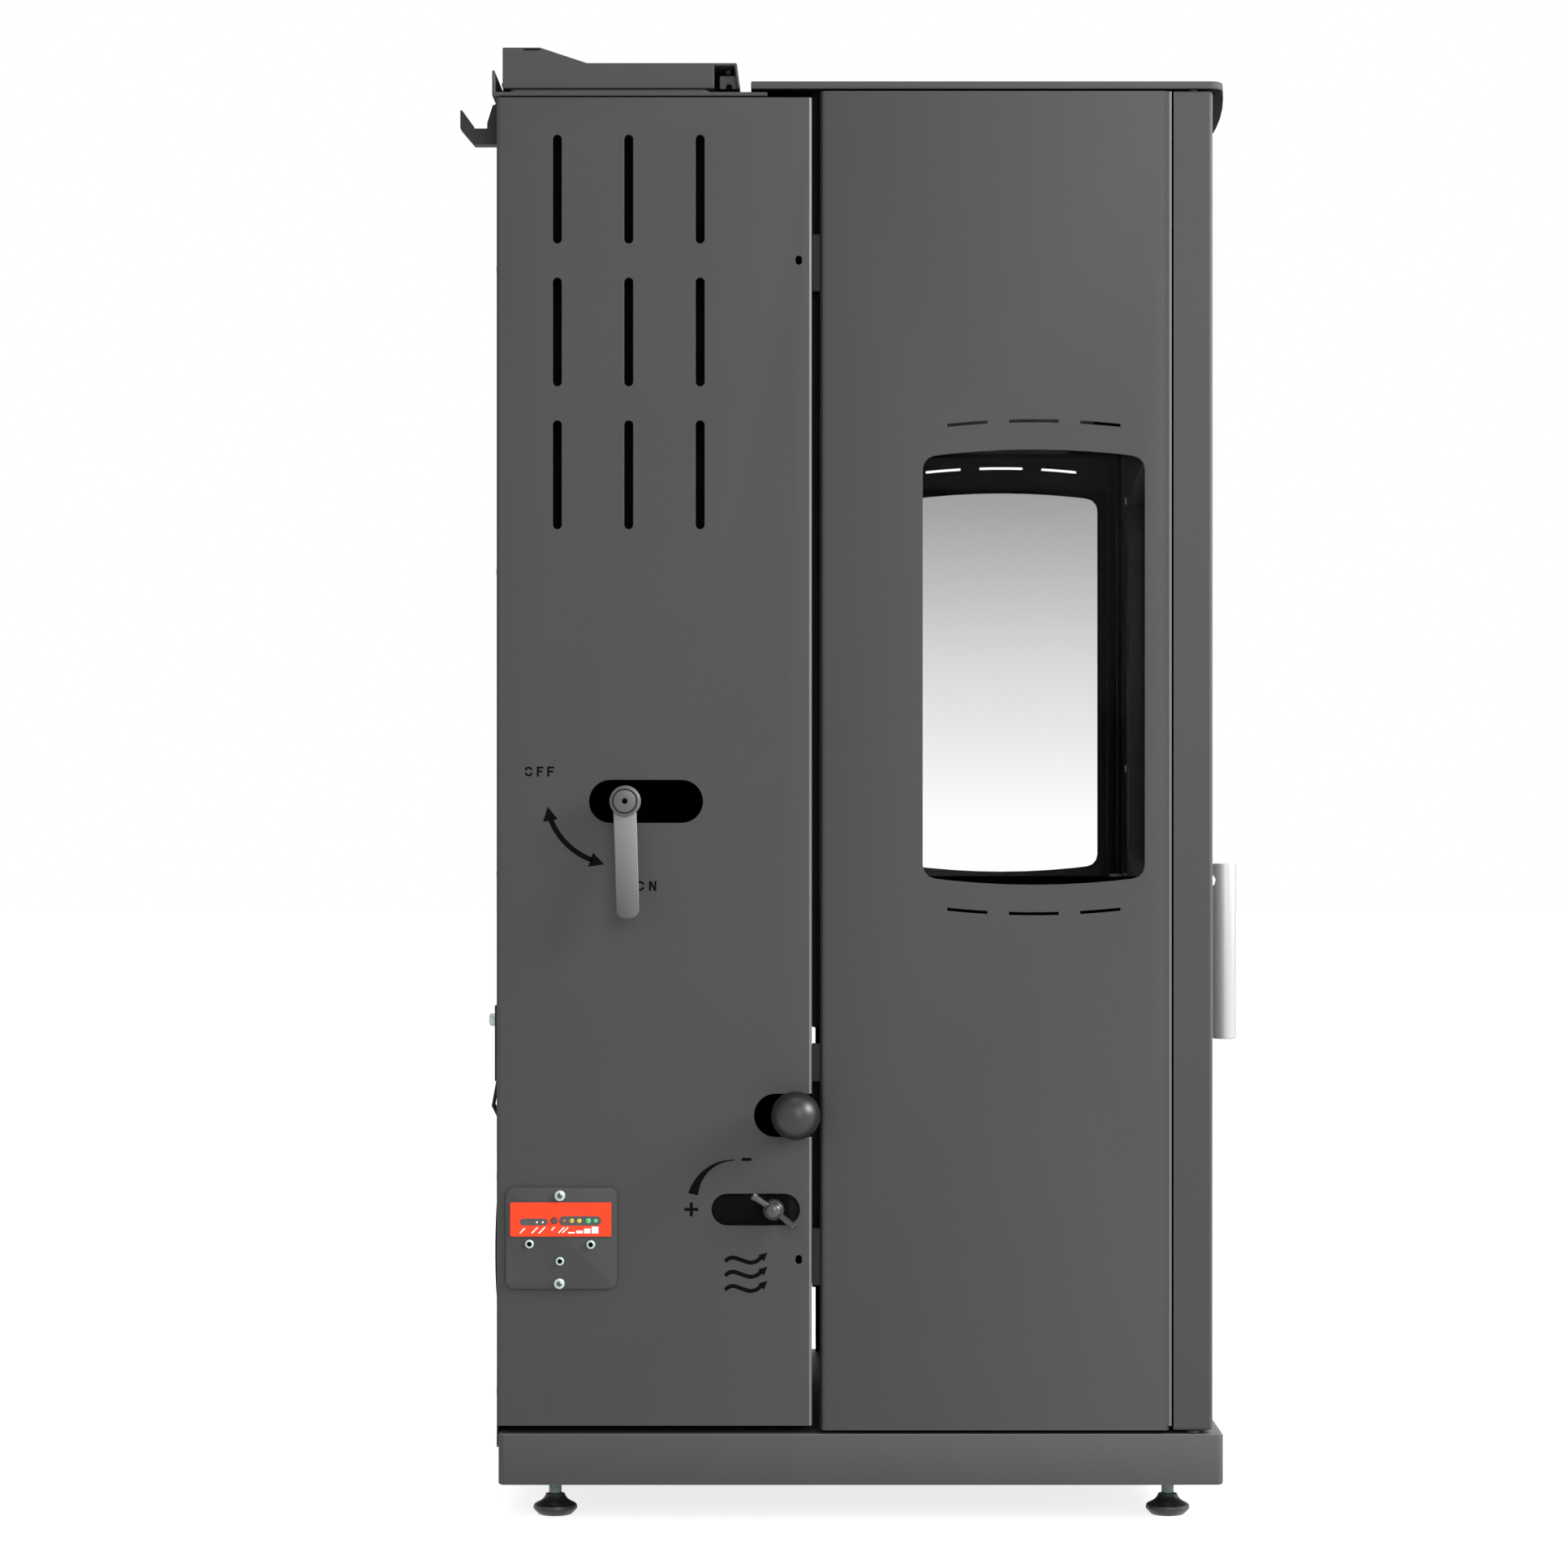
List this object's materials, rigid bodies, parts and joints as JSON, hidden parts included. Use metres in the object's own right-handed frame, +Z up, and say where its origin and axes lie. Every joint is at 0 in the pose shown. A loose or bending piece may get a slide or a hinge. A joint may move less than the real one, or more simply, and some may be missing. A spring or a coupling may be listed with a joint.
{
  "type": "pellet stove",
  "caption": "Gravity-fed pellet stove, dark grey: rear hopper with lid, see-through fire chamber, front door, feed lever, grate shaker and air damper at the left",
  "frame": {"origin": "on the floor, under the middle of the whole stove's bounding box", "axes": "+Z up, the door faces -Y, the control side faces -X"},
  "size_m": [0.515, 0.622, 1.093],
  "materials": {
    "body_paint": "fine textured dark grey heat-proof paint",
    "fire_paint": "matt black heat-proof paint",
    "cast_iron": "blackened iron",
    "bright_steel": "brushed stainless steel",
    "grey_steel": "dull zinc-plated steel",
    "galvanised_sheet": "galvanised sheet",
    "foot_rubber": "black rubber",
    "seal_rope": "braided glass-fibre rope",
    "black_plastic": "glossy dark thermoset",
    "label_orange": "printed foil",
    "stove_glass": "clear glass ceramic"
  },
  "bodies": {
    "stove": {"base_frame": "body_paint", "control_side_panel": "body_paint", "plain_side_panel": "body_paint", "window_side_panel_left": "body_paint", "window_side_panel_right": "body_paint", "rear_panel": "body_paint", "rear_cover": "cast_iron", "tool_hook": "cast_iron", "top_plate": "body_paint", "hopper_deck": "body_paint", "lid_hinge_fixed_leaf": "cast_iron", "lid_hinge_pin": "bright_steel", "hopper_bin": "fire_paint", "feed_housing": "fire_paint", "feed_chute": "fire_paint", "firebox_back": "fire_paint", "ash_compartment_back": "fire_paint", "firebox_wall_left": "fire_paint", "firebox_wall_right": "fire_paint", "door_seat_frame": "fire_paint", "firebox_shelf": "fire_paint", "baffle": "fire_paint", "firebox_roof": "fire_paint", "side_glass_left": "stove_glass", "glass_retainer_left": "fire_paint", "side_glass_right": "stove_glass", "glass_retainer_right": "fire_paint", "burn_pot": "cast_iron", "air_duct": "fire_paint", "smoke_duct": "fire_paint", "flue_pipe": "fire_paint", "door_hinge_pin_lower": "bright_steel", "door_hinge_pin_upper": "bright_steel", "drawer_rail_left": "fire_paint", "drawer_rail_right": "fire_paint", "control_panel": "body_paint", "control_label": "label_orange"},
    "door": {"door_shell": "body_paint", "door_liner": "fire_paint", "door_glass": "stove_glass", "door_gasket": "seal_rope"},
    "handle": {"handle_bar": "bright_steel", "handle_spindle": "bright_steel"},
    "lid": {"hopper_lid": "body_paint", "lid_seal": "foot_rubber", "lid_hinge_moving_leaf": "cast_iron"},
    "feed_gate": {"feed_shaft": "bright_steel", "feed_flap": "cast_iron", "feed_lever": "grey_steel"},
    "shaker": {"grate": "cast_iron", "shaker_rod": "bright_steel", "ball_knob": "black_plastic"},
    "damper": {"air_damper": "cast_iron"},
    "damper_nut": {"wing_nut": "grey_steel"},
    "drawer": {"ash_drawer": "galvanised_sheet"},
    "button": {"control_button": "black_plastic"},
    "foot_rl": {"foot_rear_left": "foot_rubber"},
    "foot_rr": {"foot_rear_right": "foot_rubber"},
    "foot_fl": {"foot_front_left": "foot_rubber"},
    "foot_fr": {"foot_front_right": "foot_rubber"}
  },
  "joints": [
    {"name": "door_hinge", "type": "hinge", "parent": "stove", "child": "door", "pos_m": [-0.2165, -0.23385, 0.564], "axis": [0, 0, -1], "range_deg": [0, 110]},
    {"name": "handle_turn", "type": "hinge", "parent": "door", "child": "handle", "pos_m": [0.2115, -0.24845, 0.466], "axis": [0, -1, 0], "range_deg": [0, 75]},
    {"name": "lid_hinge", "type": "hinge", "parent": "stove", "child": "lid", "pos_m": [0.0175, 0.28095, 1.0785], "axis": [-1, 0, 0], "range_deg": [0, 95]},
    {"name": "feed_lever_turn", "type": "hinge", "parent": "stove", "child": "feed_gate", "pos_m": [-0.2255, 0.18565, 0.5344], "axis": [1, 0, 0], "range_deg": [0, 90]},
    {"name": "grate_shake", "type": "slide", "parent": "stove", "child": "shaker", "axis": [0, 1, 0], "range_m": [0, 0.014]},
    {"name": "air_damper_slide", "type": "slide", "parent": "stove", "child": "damper", "axis": [0, 1, 0], "range_m": [-0.013, 0.04]},
    {"name": "wing_nut_spin", "type": "hinge", "parent": "damper", "child": "damper_nut", "pos_m": [-0.2228, 0.07695, 0.2323], "axis": [-1, 0, 0], "continuous": true},
    {"name": "ash_drawer_slide", "type": "slide", "parent": "stove", "child": "drawer", "axis": [0, -1, 0], "range_m": [0, 0.2115]},
    {"name": "control_button_press", "type": "slide", "parent": "stove", "child": "button", "axis": [1, 0, 0], "range_m": [0, 0.0008], "stiffness_N_per_m": 800},
    {"name": "foot_spin_rear_left", "type": "hinge", "parent": "stove", "child": "foot_rl", "pos_m": [-0.1775, 0.24055, 0.01], "axis": [0, 0, 1], "continuous": true},
    {"name": "foot_spin_rear_right", "type": "hinge", "parent": "stove", "child": "foot_rr", "pos_m": [0.2125, 0.24055, 0.01], "axis": [0, 0, 1], "continuous": true},
    {"name": "foot_spin_front_left", "type": "hinge", "parent": "stove", "child": "foot_fl", "pos_m": [-0.1775, -0.21845, 0.01], "axis": [0, 0, 1], "continuous": true},
    {"name": "foot_spin_front_right", "type": "hinge", "parent": "stove", "child": "foot_fr", "pos_m": [0.2125, -0.21845, 0.01], "axis": [0, 0, 1], "continuous": true}
  ],
  "couplings": [
    {"joint": "ash_drawer_slide", "follows": "door_hinge", "m_per_rad": 0.11}
  ]
}
